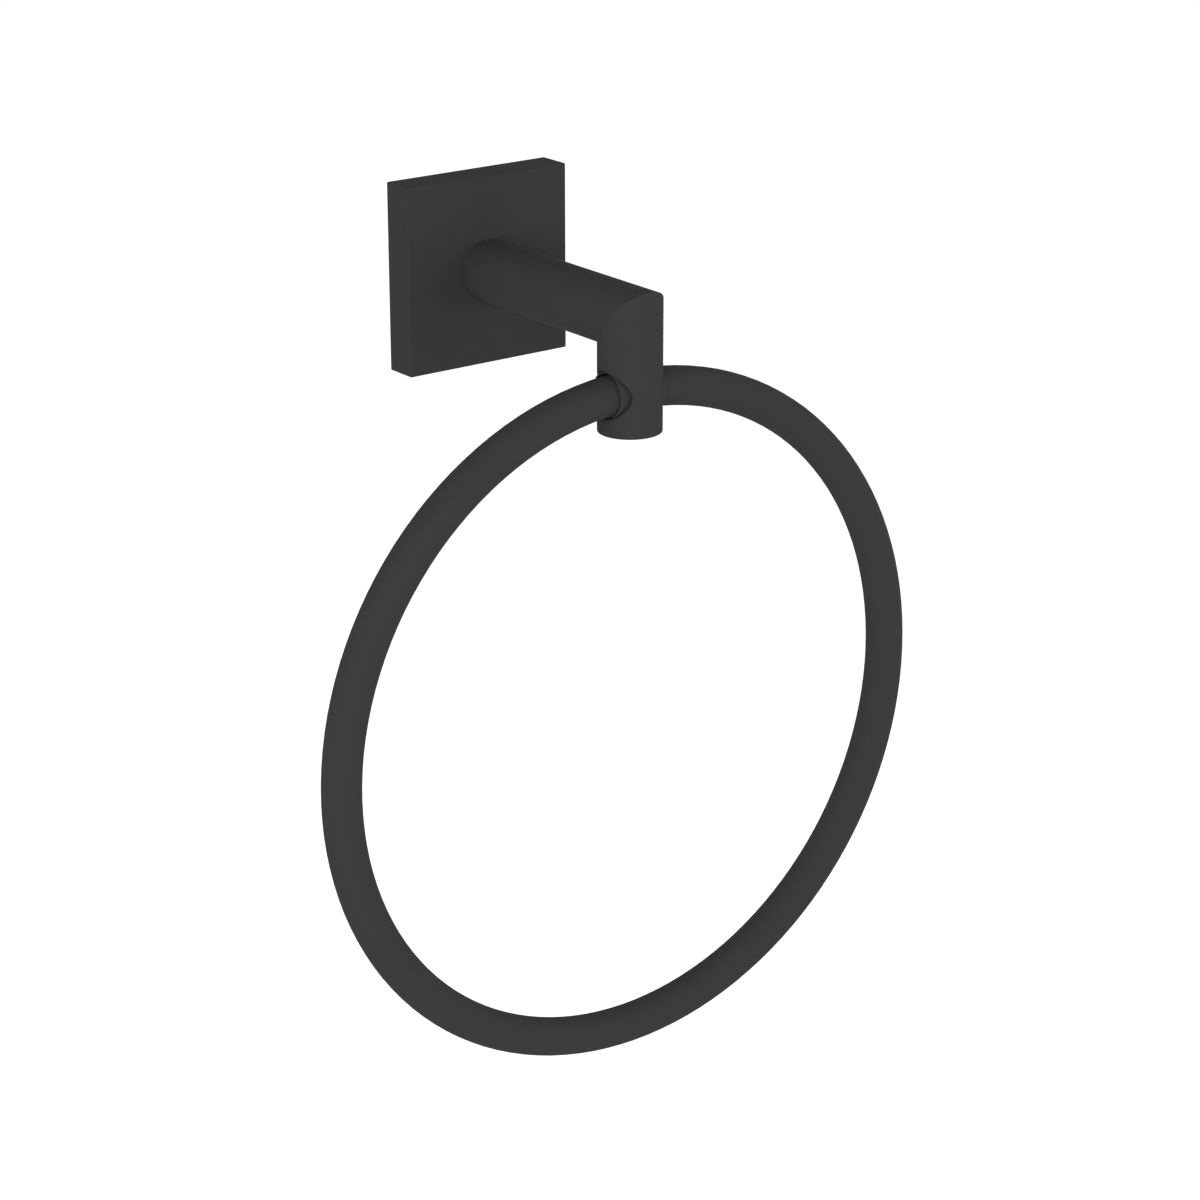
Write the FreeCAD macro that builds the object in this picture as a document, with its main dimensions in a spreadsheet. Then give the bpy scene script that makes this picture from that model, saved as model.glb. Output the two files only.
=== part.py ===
import FreeCAD, Part
import math
import os

import Sketcher
from FreeCAD import Vector

# A wall-mounted towel ring, in millimetres. The wall is the plane Y = 0, the
# arm stands out of it along -Y and +Z is up. The origin is the middle of the
# square flange's back face, which the wall bracket shares.
#
# A square flange covers a bracket that is screwed to the wall. A round arm
# leaves the flange's middle, turns down at a sharp mitre into a short post,
# and the ring's tube passes across the post through two thin bushes.
SIZES = {
    # Square flange, a shell open towards the wall
    "flange_side": 50.0,
    "flange_depth": 9.3,
    "flange_wall": 3.5,
    "flange_face": 3.2,
    "flange_ease": 0.4,
    # Wall bracket, bevelled so that the flange is drawn to the wall
    "bracket_thickness": 4.0,
    "bracket_side_gap": 0.5,
    "bracket_top_gap": 1.0,
    "bracket_bottom_gap": 4.5,
    "bracket_corner": 2.0,
    "bracket_window_gap": 0.6,
    "fixing_inset": 5.5,
    "fixing_hole": 4.6,
    "fixing_sink": 8.4,
    # Ledge inside the flange that hooks over the bracket's upper bevel
    "catch_width": 24.0,
    "catch_gap": 0.2,
    "catch_back": 0.4,
    "catch_front": 2.8,
    # Arm and post, one piece of round bar with a mitred corner
    "arm_diameter": 16.5,
    "arm_reach": 69.9,
    "post_tail": 10.5,
    "post_ease": 0.3,
    # Square spigot that keys the arm into the flange
    "spigot_side": 8.2,
    "spigot_gap": 0.1,
    "spigot_short": 0.2,
    # Screw and washers that hold the arm from behind
    "screw_thread": 5.9,
    "screw_length": 12.0,
    "screw_head": 10.5,
    "screw_head_height": 3.0,
    "screw_head_crown": 7.4,
    "screw_head_skirt": 1.2,
    "screw_key": 4.0,
    "screw_key_depth": 1.7,
    "thread_gap": 0.05,
    "tapped_depth": 15.0,
    "washer_diameter": 12.0,
    "washer_thickness": 1.0,
    "washer_bore_gap": 0.2,
    "lock_washer_diameter": 10.8,
    "lock_washer_thickness": 1.2,
    "lock_washer_slit": 0.9,
    # Set screw in the flange's lower wall
    "set_screw_thread": 3.9,
    "set_screw_length": 8.0,
    "set_screw_key": 2.0,
    "set_screw_key_depth": 2.2,
    "set_screw_seat": 0.05,
    # Ring of bent tube, its two ends meeting inside the post
    "ring_radius": 87.8,
    "ring_tube": 10.1,
    "ring_wall": 1.2,
    "ring_drop": 18.5,
    # Pin inside the tube that joins the ring's ends
    "joiner_reach": 9.5,
    "joiner_gap": 0.05,
    "joiner_waist": 5.0,
    # Bushes that line the post's bore
    "bush_start": 2.0,
    "bush_reach": 7.2,
    "bush_wall": 0.55,
    "bush_ease": 0.2,
    "bush_seat_gap": 0.04,
    "running_gap": 0.05,
    "mouth_share": 0.29,
    # Screw under the post whose point keeps the ring centred
    "keeper_thread": 3.9,
    "keeper_recess": 0.4,
    "keeper_roof": 0.3,
    "keeper_point": 2.4,
    "keeper_point_gap": 0.1,
    "keeper_side_gap": 0.3,
    "keeper_key": 2.0,
    "keeper_key_depth": 1.6,
}

doc = FreeCAD.newDocument("towel_ring")
sheet = doc.addObject("Spreadsheet::Sheet", "Sizes")
for row, (alias, value) in enumerate(SIZES.items(), start=1):
    sheet.set(f"A{row}", alias)
    sheet.set(f"B{row}", str(value))
    sheet.setAlias(f"B{row}", alias)
doc.recompute()

# Sizes that follow from the sheet, as expressions over its cells
CAVITY = "(Sizes.flange_side - 2 * Sizes.flange_wall)"
CAVITY_DEPTH = "(Sizes.flange_depth - Sizes.flange_face)"
BRACKET_TOP = f"({CAVITY} / 2 - Sizes.bracket_top_gap)"
BRACKET_BOTTOM = f"({CAVITY} / 2 - Sizes.bracket_bottom_gap)"
BEVEL_TOP = f"({BRACKET_TOP} - Sizes.bracket_thickness)"
BEVEL_BOTTOM = f"({BRACKET_BOTTOM} - Sizes.bracket_thickness)"
BRACKET_WIDTH = f"({CAVITY} - 2 * Sizes.bracket_side_gap)"
FIXING_OFFSET = f"({BRACKET_WIDTH} / 2 - Sizes.fixing_inset)"
POST_DROP = "(Sizes.ring_drop + Sizes.post_tail)"
SPIGOT_LENGTH = "(Sizes.flange_face - Sizes.spigot_short)"
WASHER_BACK = f"({CAVITY_DEPTH} - Sizes.washer_thickness)"
HEAD_SEAT = f"({WASHER_BACK} - Sizes.lock_washer_thickness)"
HEAD_BACK = f"({HEAD_SEAT} - Sizes.screw_head_height)"
WASHER_BORE = "(Sizes.screw_thread + 2 * Sizes.washer_bore_gap)"
ARM_TAP = "(Sizes.screw_thread + 2 * Sizes.thread_gap)"
SET_SCREW_TAP = "(Sizes.set_screw_thread + 2 * Sizes.thread_gap)"
SET_SCREW_AXIS = f"({CAVITY_DEPTH} / 2)"
SET_SCREW_TIP = f"({BEVEL_BOTTOM} + {SET_SCREW_AXIS} + Sizes.set_screw_seat)"
KEEPER_TAP = "(Sizes.keeper_thread + 2 * Sizes.thread_gap)"
RING_CENTRE = "(Sizes.ring_drop + Sizes.ring_radius)"
RING_BORE = "(Sizes.ring_tube - 2 * Sizes.ring_wall)"
RING_END_GAP = "(Sizes.keeper_point + 2 * Sizes.keeper_side_gap)"
RING_GAP_ANGLE = f"2 * asin({RING_END_GAP} / 2 / Sizes.ring_radius)"
JOINER_ANGLE = "2 * asin(Sizes.joiner_reach / Sizes.ring_radius)"
JOINER_DIAMETER = f"({RING_BORE} - 2 * Sizes.joiner_gap)"
RING_SAG = "(Sizes.ring_radius - sqrt(Sizes.ring_radius^2 - Sizes.bush_reach^2))"
BUSH_INNER = f"(Sizes.ring_tube / 2 + {RING_SAG} + Sizes.running_gap)"
BUSH_OUTER = f"({BUSH_INNER} + Sizes.bush_wall)"
POST_BORE = f"(2 * ({BUSH_OUTER} + Sizes.bush_seat_gap))"
MOUTH_ROUND = f"(Sizes.mouth_share * (Sizes.arm_diameter - {POST_BORE}) / 2)"
KEEPER_TOP = f"(Sizes.ring_drop + {POST_BORE} / 2 + Sizes.keeper_roof)"
KEEPER_BOTTOM = f"({POST_DROP} - Sizes.keeper_recess)"
KEEPER_TIP = "(Sizes.ring_drop + Sizes.joiner_waist / 2 + Sizes.keeper_point_gap)"


def number(expression):
    """Value of an expression as a plain number."""
    value = sheet.evalExpression(expression)
    return float(getattr(value, "Value", value))


def make_body(label):
    """New body whose label is the name of its file."""
    body = doc.addObject("PartDesign::Body", label)
    body.Label = label
    return body


def make_sketch(body, name, role, offset=None):
    """Sketch on one of the body's origin planes, moved along its normal by offset."""
    sketch = body.newObject("Sketcher::SketchObject", f"{body.Label}_{name}")
    support = next(f for f in body.Origin.OriginFeatures if f.Role == role)
    sketch.AttachmentSupport = [(support, "")]
    sketch.MapMode = "FlatFace"
    if offset:
        sketch.setExpression("AttachmentOffset.Base.z", offset)
    return sketch


def pin_point(sketch, geometry, vertex, x, y):
    """Hold one point of a sketch at the expressions x and y; "0" puts it on the axis."""
    for kind, expression, axis in (("DistanceX", x, -2), ("DistanceY", y, -1)):
        if expression == "0":
            sketch.addConstraint(Sketcher.Constraint("PointOnObject", geometry, vertex, axis))
            continue
        value = number(expression)
        index = sketch.addConstraint(Sketcher.Constraint(kind, -1, 1, geometry, vertex, value))
        sketch.setExpression(f"Constraints[{index}]", expression)


def draw_polygon(sketch, corners):
    """Closed outline through corners, each a pair of expressions."""
    points = [Vector(number(x), number(y), 0) for x, y in corners]
    first = sketch.GeometryCount
    for k, point in enumerate(points):
        sketch.addGeometry(Part.LineSegment(point, points[(k + 1) % len(points)]), False)
    for k in range(len(points)):
        after = first + (k + 1) % len(points)
        sketch.addConstraint(Sketcher.Constraint("Coincident", first + k, 2, after, 1))
    for k, (x, y) in enumerate(corners):
        pin_point(sketch, first + k, 1, x, y)


def draw_square(sketch, side):
    """Square about the sketch's origin."""
    corners = [(f"-{side} / 2", f"-{side} / 2"), (f"{side} / 2", f"-{side} / 2")]
    corners += [(f"{side} / 2", f"{side} / 2"), (f"-{side} / 2", f"{side} / 2")]
    draw_polygon(sketch, corners)


def draw_hexagon(sketch, across_flats, x="0", y="0"):
    """Hexagon about (x, y) with two flats parallel to the sketch's first axis."""
    radius = f"{across_flats} / sqrt(3)"
    corners = []
    for k in range(6):
        angle = f"{60 * k} deg"
        corners.append((f"{x} + {radius} * cos({angle})", f"{y} + {radius} * sin({angle})"))
    draw_polygon(sketch, corners)


def draw_circle(sketch, diameter, x="0", y="0"):
    """Circle of the given diameter about (x, y)."""
    centre = Vector(number(x), number(y), 0)
    circle = Part.Circle(centre, Vector(0, 0, 1), number(diameter) / 2)
    geometry = sketch.addGeometry(circle, False)
    pin_point(sketch, geometry, 3, x, y)
    index = sketch.addConstraint(Sketcher.Constraint("Diameter", geometry, number(diameter)))
    sketch.setExpression(f"Constraints[{index}]", diameter)


def extrude(body, kind, sketch, length=None, reverse=False, both_ways=False):
    """Pad or Pocket of a sketch; no length cuts through everything."""
    feature = body.newObject(f"PartDesign::{kind}", f"{sketch.Name}_{kind.lower()}")
    feature.Profile = sketch
    feature.Reversed = reverse
    if both_ways:
        feature.SideType = "Symmetric"
    if length is None:
        feature.Type = "ThroughAll"
    else:
        feature.setExpression("Length", length)
    doc.recompute()
    return feature


def turn(body, kind, sketch, axis, angle="360 deg"):
    """Revolution or Groove of a sketch about its own H_Axis or V_Axis."""
    feature = body.newObject(f"PartDesign::{kind}", f"{sketch.Name}_{kind.lower()}")
    feature.Profile = sketch
    feature.ReferenceAxis = (sketch, [axis])
    feature.Midplane = True
    feature.setExpression("Angle", angle)
    doc.recompute()
    return feature


def dress(body, kind, size, wanted):
    """Fillet or Chamfer on the edges of the body for which wanted(edge) is true."""
    base = body.Tip
    names = [f"Edge{k}" for k, edge in enumerate(base.Shape.Edges, start=1) if wanted(edge)]
    feature = body.newObject(f"PartDesign::{kind}", f"{body.Label}_{kind.lower()}")
    feature.Base = (base, names)
    feature.setExpression("Radius" if kind == "Fillet" else "Size", size)
    doc.recompute()
    return feature


def near(value, target, tolerance=1e-4):
    """Whether two lengths are the same."""
    return abs(value - target) < tolerance


def points_of(edge):
    """A few points along an edge."""
    return edge.discretize(Number=7)


# Flange: a square cup with a keyed hole for the arm, a ledge under its upper
# wall and a tapped hole through its lower wall
flange = make_body("flange_cover")
outline = make_sketch(flange, "outline", "XZ_Plane")
draw_square(outline, "Sizes.flange_side")
extrude(flange, "Pad", outline, "Sizes.flange_depth")


def is_outer_flange_edge(edge):
    """Front rim or one of the four corners, not the rim on the wall."""
    half = number("Sizes.flange_side") / 2
    front = -number("Sizes.flange_depth")
    points = points_of(edge)
    on_corner = all(near(abs(p.x), half) and near(abs(p.z), half) for p in points)
    return on_corner or all(near(p.y, front) for p in points)


dress(flange, "Fillet", "Sizes.flange_ease", is_outer_flange_edge)
cavity = make_sketch(flange, "cavity", "XZ_Plane")
draw_square(cavity, CAVITY)
extrude(flange, "Pocket", cavity, CAVITY_DEPTH, reverse=True)
keyhole = make_sketch(flange, "keyhole", "XZ_Plane")
draw_square(keyhole, "(Sizes.spigot_side + 2 * Sizes.spigot_gap)")
extrude(flange, "Pocket", keyhole, reverse=True)
catch = make_sketch(flange, "catch", "YZ_Plane")
catch_root = f"{CAVITY} / 2 + Sizes.flange_wall / 2"
catch_corners = [("-Sizes.catch_back", catch_root)]
for depth in ("Sizes.catch_back", "Sizes.catch_front"):
    catch_corners.append((f"-{depth}", f"{BEVEL_TOP} + {depth} + Sizes.catch_gap"))
catch_corners.append(("-Sizes.catch_front", catch_root))
draw_polygon(catch, catch_corners)
extrude(flange, "Pad", catch, "Sizes.catch_width", both_ways=True)
set_screw_hole = make_sketch(flange, "set_screw_hole", "XY_Plane")
draw_circle(set_screw_hole, SET_SCREW_TAP, "0", f"-{SET_SCREW_AXIS}")
extrude(flange, "Pocket", set_screw_hole)

# Wall bracket: a plate whose upper and lower edges are cut back towards the
# wall at 45 degrees, with a window that the arm's screw and washers pass
bracket = make_body("wall_bracket")
section = make_sketch(bracket, "section", "YZ_Plane")
section_corners = [
    ("0", BEVEL_TOP),
    ("-Sizes.bracket_thickness", BRACKET_TOP),
    ("-Sizes.bracket_thickness", f"-{BRACKET_BOTTOM}"),
    ("0", f"-{BEVEL_BOTTOM}"),
]
draw_polygon(section, section_corners)
extrude(bracket, "Pad", section, BRACKET_WIDTH, both_ways=True)


def is_bracket_corner(edge):
    """Slanting edge at one end of a bevel."""
    first, last = edge.Vertexes[0].Point, edge.Vertexes[-1].Point
    return near(first.x, last.x) and not near(first.y, last.y) and not near(first.z, last.z)


dress(bracket, "Fillet", "Sizes.bracket_corner", is_bracket_corner)
window = make_sketch(bracket, "window", "XZ_Plane")
draw_circle(window, "(Sizes.washer_diameter + 2 * Sizes.bracket_window_gap)")
extrude(bracket, "Pocket", window, reverse=True)
fixings = make_sketch(bracket, "fixings", "XZ_Plane")
for side in ("", "-"):
    draw_circle(fixings, "Sizes.fixing_hole", f"{side}{FIXING_OFFSET}")
extrude(bracket, "Pocket", fixings, reverse=True)


def is_fixing_rim(edge):
    """Round edge of a fixing hole on the bracket's front."""
    front = -number("Sizes.bracket_thickness")
    radius = getattr(edge.Curve, "Radius", 0)
    is_round = near(radius, number("Sizes.fixing_hole") / 2)
    return is_round and all(near(p.y, front) for p in points_of(edge))


dress(bracket, "Chamfer", "(Sizes.fixing_sink - Sizes.fixing_hole) / 2", is_fixing_rim)

# Arm and post: a round bar led along an angled path, with a square mitre
arm = make_body("mitred_arm")
bar = make_sketch(arm, "bar", "XZ_Plane", "Sizes.flange_depth")
draw_circle(bar, "Sizes.arm_diameter")
path = make_sketch(arm, "path", "YZ_Plane")
corner_y = number("-Sizes.arm_reach")
legs = [
    (Vector(number("-Sizes.flange_depth"), 0, 0), Vector(corner_y, 0, 0)),
    (Vector(corner_y, 0, 0), Vector(corner_y, number(f"-{POST_DROP}"), 0)),
]
for start, end in legs:
    path.addGeometry(Part.LineSegment(start, end), False)
path.addConstraint(Sketcher.Constraint("Coincident", 0, 2, 1, 1))
pin_point(path, 0, 1, "-Sizes.flange_depth", "0")
pin_point(path, 1, 1, "-Sizes.arm_reach", "0")
pin_point(path, 1, 2, "-Sizes.arm_reach", f"-{POST_DROP}")
sweep = arm.newObject("PartDesign::AdditivePipe", "mitred_arm_sweep")
sweep.Profile = bar
sweep.Spine = (path, ["Edge1", "Edge2"])
sweep.Transition = "Right corner"
doc.recompute()


def is_post_rim(edge):
    """Round edge at the post's lower end."""
    return all(near(p.z, -number(POST_DROP)) for p in points_of(edge))


dress(arm, "Fillet", "Sizes.post_ease", is_post_rim)
ring_bore = make_sketch(arm, "ring_bore", "YZ_Plane")
draw_circle(ring_bore, POST_BORE, "-Sizes.arm_reach", "-Sizes.ring_drop")
extrude(arm, "Pocket", ring_bore, both_ways=True)


def is_bore_mouth(edge):
    """Saddle-shaped edge where the bore breaks out of the post."""
    bore = number(POST_BORE) / 2
    post = number("Sizes.arm_diameter") / 2
    reach, drop = number("Sizes.arm_reach"), number("Sizes.ring_drop")
    for p in points_of(edge):
        if not near(math.hypot(p.y + reach, p.z + drop), bore):
            return False
        if not near(math.hypot(p.x, p.y + reach), post, tolerance=0.01):
            return False
    return True


dress(arm, "Fillet", MOUTH_ROUND, is_bore_mouth)
spigot = make_sketch(arm, "spigot", "XZ_Plane", "Sizes.flange_depth")
draw_square(spigot, "Sizes.spigot_side")
extrude(arm, "Pad", spigot, SPIGOT_LENGTH, reverse=True)
arm_tap = make_sketch(arm, "tap", "XZ_Plane", f"(Sizes.flange_depth - {SPIGOT_LENGTH})")
draw_circle(arm_tap, ARM_TAP)
extrude(arm, "Pocket", arm_tap, "Sizes.tapped_depth", reverse=True)
keeper_tap = make_sketch(arm, "keeper_tap", "XY_Plane", "-Sizes.ring_drop")
draw_circle(keeper_tap, KEEPER_TAP, "0", "-Sizes.arm_reach")
extrude(arm, "Pocket", keeper_tap)

# Washers and screw behind the flange's face, on the arm's axis
washer = make_body("arm_washer")
washer_face = make_sketch(washer, "face", "XZ_Plane", WASHER_BACK)
draw_circle(washer_face, "Sizes.washer_diameter")
draw_circle(washer_face, WASHER_BORE)
extrude(washer, "Pad", washer_face, "Sizes.washer_thickness")

lock_washer = make_body("arm_lock_washer")
coil_face = make_sketch(lock_washer, "face", "XZ_Plane", HEAD_SEAT)
draw_circle(coil_face, "Sizes.lock_washer_diameter")
draw_circle(coil_face, WASHER_BORE)
extrude(lock_washer, "Pad", coil_face, "Sizes.lock_washer_thickness")
slit = make_sketch(lock_washer, "slit", "XZ_Plane")
slit_corners = [("-Sizes.lock_washer_slit / 2", "0"), ("Sizes.lock_washer_slit / 2", "0")]
for side in ("", "-"):
    slit_corners.append((f"{side}Sizes.lock_washer_slit / 2", "Sizes.lock_washer_diameter"))
draw_polygon(slit, slit_corners)
extrude(lock_washer, "Pocket", slit, reverse=True)

arm_screw = make_body("arm_screw")
screw_half = make_sketch(arm_screw, "half", "XY_Plane")
screw_corners = [
    ("0", f"-{HEAD_BACK}"),
    ("Sizes.screw_head_crown / 2", f"-{HEAD_BACK}"),
    ("Sizes.screw_head / 2", f"-({HEAD_SEAT} - Sizes.screw_head_skirt)"),
    ("Sizes.screw_head / 2", f"-{HEAD_SEAT}"),
    ("Sizes.screw_thread / 2", f"-{HEAD_SEAT}"),
    ("Sizes.screw_thread / 2", f"-({HEAD_SEAT} + Sizes.screw_length)"),
    ("0", f"-({HEAD_SEAT} + Sizes.screw_length)"),
]
draw_polygon(screw_half, screw_corners)
turn(arm_screw, "Revolution", screw_half, "V_Axis")
screw_key = make_sketch(arm_screw, "key", "XZ_Plane", HEAD_BACK)
draw_hexagon(screw_key, "Sizes.screw_key")
extrude(arm_screw, "Pocket", screw_key, "Sizes.screw_key_depth", reverse=True)

# Set screw: its cone bears on the bracket's lower bevel
set_screw = make_body("flange_set_screw")
set_screw_half = make_sketch(set_screw, "half", "XZ_Plane", SET_SCREW_AXIS)
set_screw_foot = f"-({SET_SCREW_TIP} + Sizes.set_screw_length)"
cone_corners = [
    ("0", f"-{SET_SCREW_TIP}"),
    ("0", set_screw_foot),
    ("Sizes.set_screw_thread / 2", set_screw_foot),
    ("Sizes.set_screw_thread / 2", f"-({SET_SCREW_TIP} + Sizes.set_screw_thread / 2)"),
]
draw_polygon(set_screw_half, cone_corners)
turn(set_screw, "Revolution", set_screw_half, "V_Axis")
set_screw_key = make_sketch(set_screw, "key", "XY_Plane", set_screw_foot)
draw_hexagon(set_screw_key, "Sizes.set_screw_key", "0", f"-{SET_SCREW_AXIS}")
extrude(set_screw, "Pocket", set_screw_key, "Sizes.set_screw_key_depth", reverse=True)


def is_bush_rim(edge):
    """Outer end of a bush."""
    reach = number("Sizes.bush_reach")
    return all(near(abs(p.x), reach) for p in points_of(edge))


# Bushes: thin sleeves pressed into the bore from each side, their rims eased
for hand, sign in (("left", "-"), ("right", "")):
    bush = make_body(f"ring_bush_{hand}")
    wall = make_sketch(bush, "wall", "XY_Plane")
    wall_corners = []
    for reach, radius in (
        ("Sizes.bush_start", BUSH_INNER),
        ("Sizes.bush_reach", BUSH_INNER),
        ("Sizes.bush_reach", BUSH_OUTER),
        ("Sizes.bush_start", BUSH_OUTER),
    ):
        wall_corners.append((f"{sign}{reach}", radius))
    draw_polygon(wall, wall_corners)
    turn(bush, "Revolution", wall, "H_Axis")
    dress(bush, "Chamfer", "Sizes.bush_ease", is_bush_rim)
    bush.setExpression("Placement.Base.y", "-Sizes.arm_reach")
    bush.setExpression("Placement.Base.z", "-Sizes.ring_drop")

# Keeper: a set screw under the post whose plain point runs in the groove
# between the ring's ends
keeper = make_body("ring_keeper_screw")
keeper_half = make_sketch(keeper, "half", "XZ_Plane")
keeper_corners = [
    ("0", f"-{KEEPER_TIP}"),
    ("0", f"-{KEEPER_BOTTOM}"),
    ("Sizes.keeper_thread / 2", f"-{KEEPER_BOTTOM}"),
    ("Sizes.keeper_thread / 2", f"-{KEEPER_TOP}"),
    ("Sizes.keeper_point / 2", f"-{KEEPER_TOP}"),
    ("Sizes.keeper_point / 2", f"-{KEEPER_TIP}"),
]
draw_polygon(keeper_half, keeper_corners)
turn(keeper, "Revolution", keeper_half, "V_Axis")
keeper_key = make_sketch(keeper, "key", "XY_Plane", f"-{KEEPER_BOTTOM}")
draw_hexagon(keeper_key, "Sizes.keeper_key")
extrude(keeper, "Pocket", keeper_key, "Sizes.keeper_key_depth", reverse=True)
keeper.setExpression("Placement.Base.y", "-Sizes.arm_reach")

# Ring: tube bent to a circle, cut open at the top by the gap between its ends
ring = make_body("towel_ring")
tube = make_sketch(ring, "tube", "YZ_Plane")
for diameter in ("Sizes.ring_tube", RING_BORE):
    draw_circle(tube, diameter, "0", "-Sizes.ring_radius")
turn(ring, "Revolution", tube, "H_Axis", f"360 deg - {RING_GAP_ANGLE}")

# Joiner: a pin bent to the ring's curve, necked where the keeper's point runs
joiner = make_body("ring_joiner")
pin = make_sketch(joiner, "pin", "YZ_Plane")
draw_circle(pin, JOINER_DIAMETER, "0", "Sizes.ring_radius")
turn(joiner, "Revolution", pin, "H_Axis", JOINER_ANGLE)
neck = make_sketch(joiner, "neck", "YZ_Plane")
for diameter in ("Sizes.ring_tube", "Sizes.joiner_waist"):
    draw_circle(neck, diameter, "0", "Sizes.ring_radius")
turn(joiner, "Groove", neck, "H_Axis", RING_GAP_ANGLE)
for bent in (ring, joiner):
    bent.setExpression("Placement.Base.y", "-Sizes.arm_reach")
    bent.setExpression("Placement.Base.z", f"-{RING_CENTRE}")

doc.recompute()
bodies = [item for item in doc.Objects if item.TypeId == "PartDesign::Body"]
for item in doc.Objects:
    if "Invalid" in item.State or "Error" in item.State:
        raise RuntimeError(f"{item.Label} did not compute: {item.State}")
for body in bodies:
    if body.Shape.isNull() or not body.Shape.isValid():
        raise RuntimeError(f"{body.Label} has no valid shape")

os.makedirs("parts", exist_ok=True)
for body in bodies:
    body.Shape.exportStep(f"parts/{body.Label}.step")
    box = body.Shape.optimalBoundingBox()
    print(
        f"{body.Label}: {len(body.Shape.Solids)} solid, {body.Shape.Volume:.1f} mm3,"
        f" X {box.XMin:.2f} to {box.XMax:.2f}, Y {box.YMin:.2f} to {box.YMax:.2f},"
        f" Z {box.ZMin:.2f} to {box.ZMax:.2f}"
    )
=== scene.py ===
"""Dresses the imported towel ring: finishes, threaded screws and the studio.

Everything is in metres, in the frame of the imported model: the wall is the
plane y = 0, the arm stands out along -y and z points up.
"""

import logging
import math
from collections.abc import Callable, Sequence
from dataclasses import dataclass, field
from enum import Enum

import bmesh
import bpy
from mathutils import Matrix, Vector


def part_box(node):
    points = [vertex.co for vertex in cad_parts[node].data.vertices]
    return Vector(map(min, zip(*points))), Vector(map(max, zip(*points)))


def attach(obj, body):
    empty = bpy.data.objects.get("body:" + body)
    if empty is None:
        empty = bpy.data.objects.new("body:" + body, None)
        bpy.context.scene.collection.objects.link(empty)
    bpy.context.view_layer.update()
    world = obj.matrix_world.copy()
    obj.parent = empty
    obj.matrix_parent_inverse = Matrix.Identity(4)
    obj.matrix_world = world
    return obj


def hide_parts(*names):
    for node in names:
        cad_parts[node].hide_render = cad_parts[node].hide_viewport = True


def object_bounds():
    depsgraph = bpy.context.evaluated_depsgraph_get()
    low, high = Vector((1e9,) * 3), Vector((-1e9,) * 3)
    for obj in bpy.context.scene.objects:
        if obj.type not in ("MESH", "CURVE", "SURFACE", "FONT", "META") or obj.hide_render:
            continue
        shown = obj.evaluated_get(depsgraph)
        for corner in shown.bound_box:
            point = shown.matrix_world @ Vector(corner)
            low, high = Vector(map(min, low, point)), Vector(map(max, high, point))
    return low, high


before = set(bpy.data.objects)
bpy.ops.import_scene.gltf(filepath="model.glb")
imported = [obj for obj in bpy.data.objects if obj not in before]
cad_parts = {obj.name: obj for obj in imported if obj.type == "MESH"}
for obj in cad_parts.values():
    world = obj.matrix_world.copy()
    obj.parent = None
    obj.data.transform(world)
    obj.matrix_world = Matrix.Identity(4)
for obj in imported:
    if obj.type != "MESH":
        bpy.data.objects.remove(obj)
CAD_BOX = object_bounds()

log = logging.getLogger("towel_ring")

MM = 0.001
FIXED_BODY = "bracket_and_arm"
WHITE = (1.0, 1.0, 1.0, 1.0)
Colour = tuple[float, float, float]

# Sockets of a Mix node that mixes colours
MIX_FACTOR, MIX_FIRST, MIX_SECOND, MIX_RESULT = 0, 6, 7, 2

# Proportions of a thread, as shares of its pitch
THREAD_DEPTH = 0.54
START_BEVEL = 0.3
END_CHAMFER = 0.5

# Profile of a thread: a V wave, stretched by the slope, lowered by the drop and
# held between 0 and 1, which leaves its roots and crests flat
FLANK_SLOPE = 1.6
ROOT_DROP = 0.3
SECTIONS_PER_TURN = 10

# Proportions of a key's socket, as shares of the distance between its flats
DRILL_CONE_DEPTH = 0.2
DRILL_TIP_RADIUS = 0.06
DRILL_FLATS = 0.97
LEAD_IN_DEPTH = 0.08
LEAD_IN_RADIUS = 0.62

# Proportions of a domed head: its flat crown to its radius, its straight skirt
# to its height and the eased edge of its seat to the skirt
HEAD_CROWN = 0.7
HEAD_SKIRT = 0.35
HEAD_EASE = 0.15
DOME_STEPS = 8

# Proportions of a screw's far end, as shares of its radius
CONE_POINT = 0.04
TIP_MIDDLE = 0.05
PIN_EASE = 0.12


class Turn(Enum):
    """Axis that a part was turned about, as the angles that lay it along z."""

    ALONG_X = (0.0, math.pi / 2, 0.0)
    ALONG_Y = (math.pi / 2, 0.0, 0.0)
    ALONG_Z = (0.0, 0.0, 0.0)


class Point(Enum):
    """Shape of a screw's far end."""

    CHAMFERED = "chamfered"
    CONE = "cone"
    PLAIN_PIN = "plain pin"


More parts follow.
